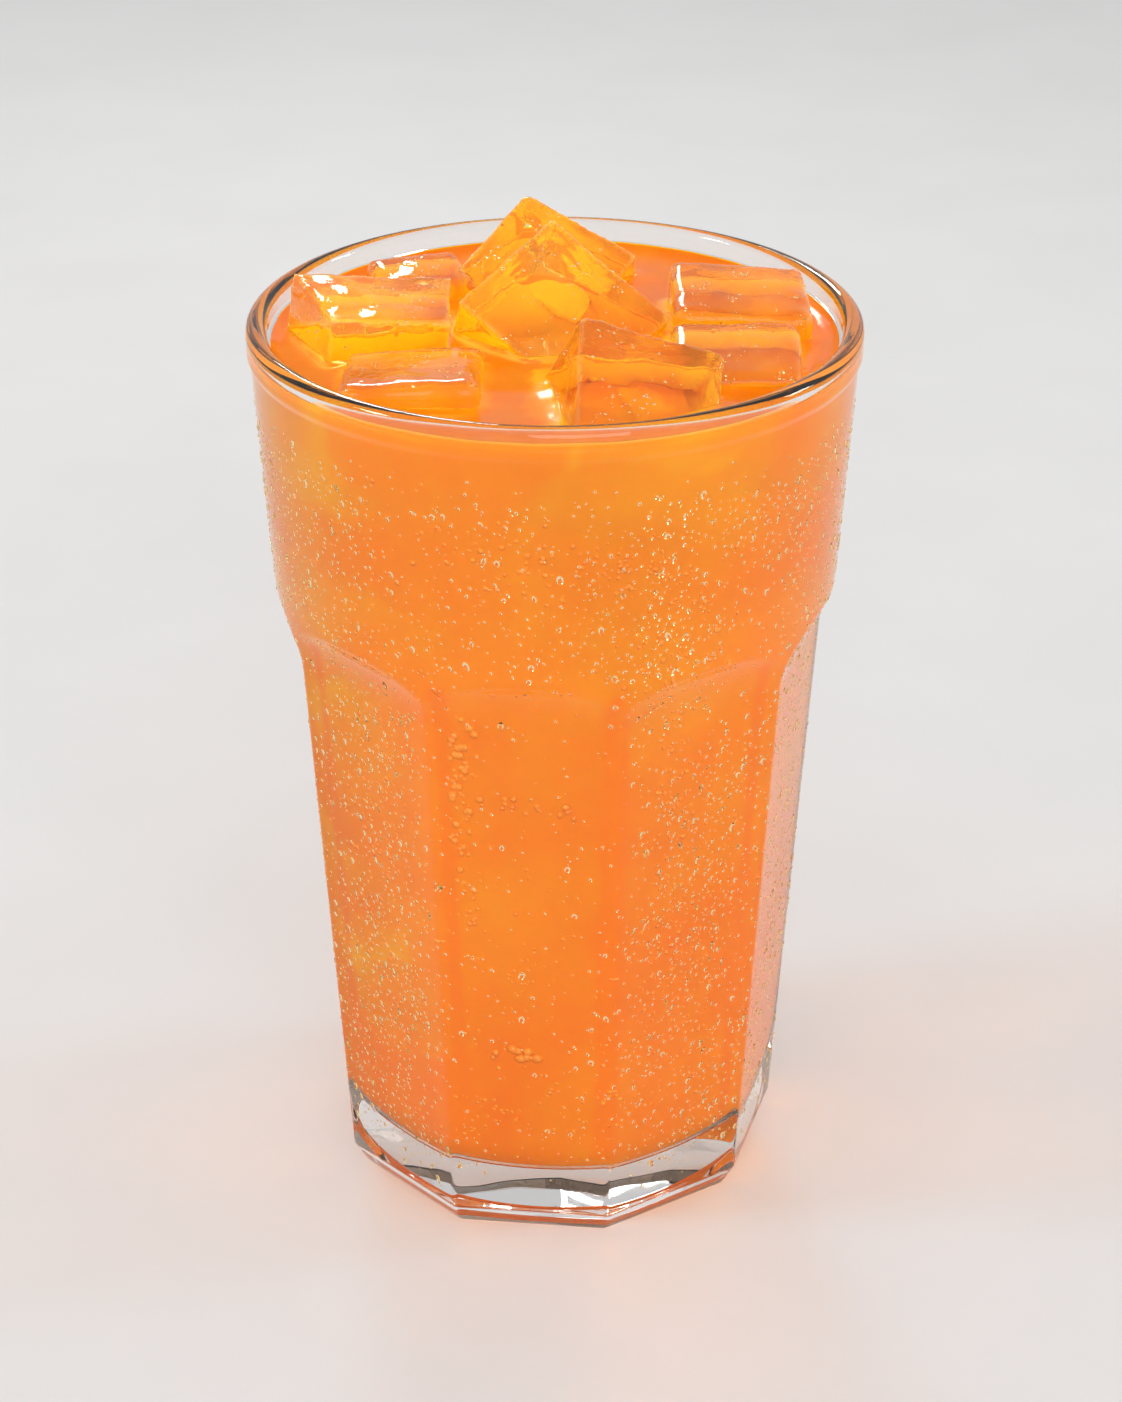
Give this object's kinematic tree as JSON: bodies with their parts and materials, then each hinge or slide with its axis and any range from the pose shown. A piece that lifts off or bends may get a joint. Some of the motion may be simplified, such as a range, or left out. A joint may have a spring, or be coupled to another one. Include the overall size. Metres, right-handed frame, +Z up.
{
  "type": "glass of orange soda",
  "caption": "Tall panelled tumbler filled nearly to the rim with orange soda, ice cubes standing out of the drink, beaded with condensation.",
  "frame": {"origin": "centre of the ring foot, on the table", "axes": "+Z up along the glass's axis, -Y towards the viewer"},
  "size_m": [0.0904, 0.0904, 0.1485],
  "materials": {
    "clear_glass": "clear pressed glass, beaded with condensation",
    "orange_drink": "cloudy bright orange soda with bubbles",
    "ice": "wet clear ice"
  },
  "bodies": {
    "root": {"glass": "clear_glass", "drink": "orange_drink", "ice_centre": "ice", "ice_front": "ice", "ice_left": "ice", "ice_right": "ice", "ice_right_low": "ice", "ice_front_left": "ice", "ice_back": "ice", "ice_back_left": "ice"}
  },
  "joints": []
}
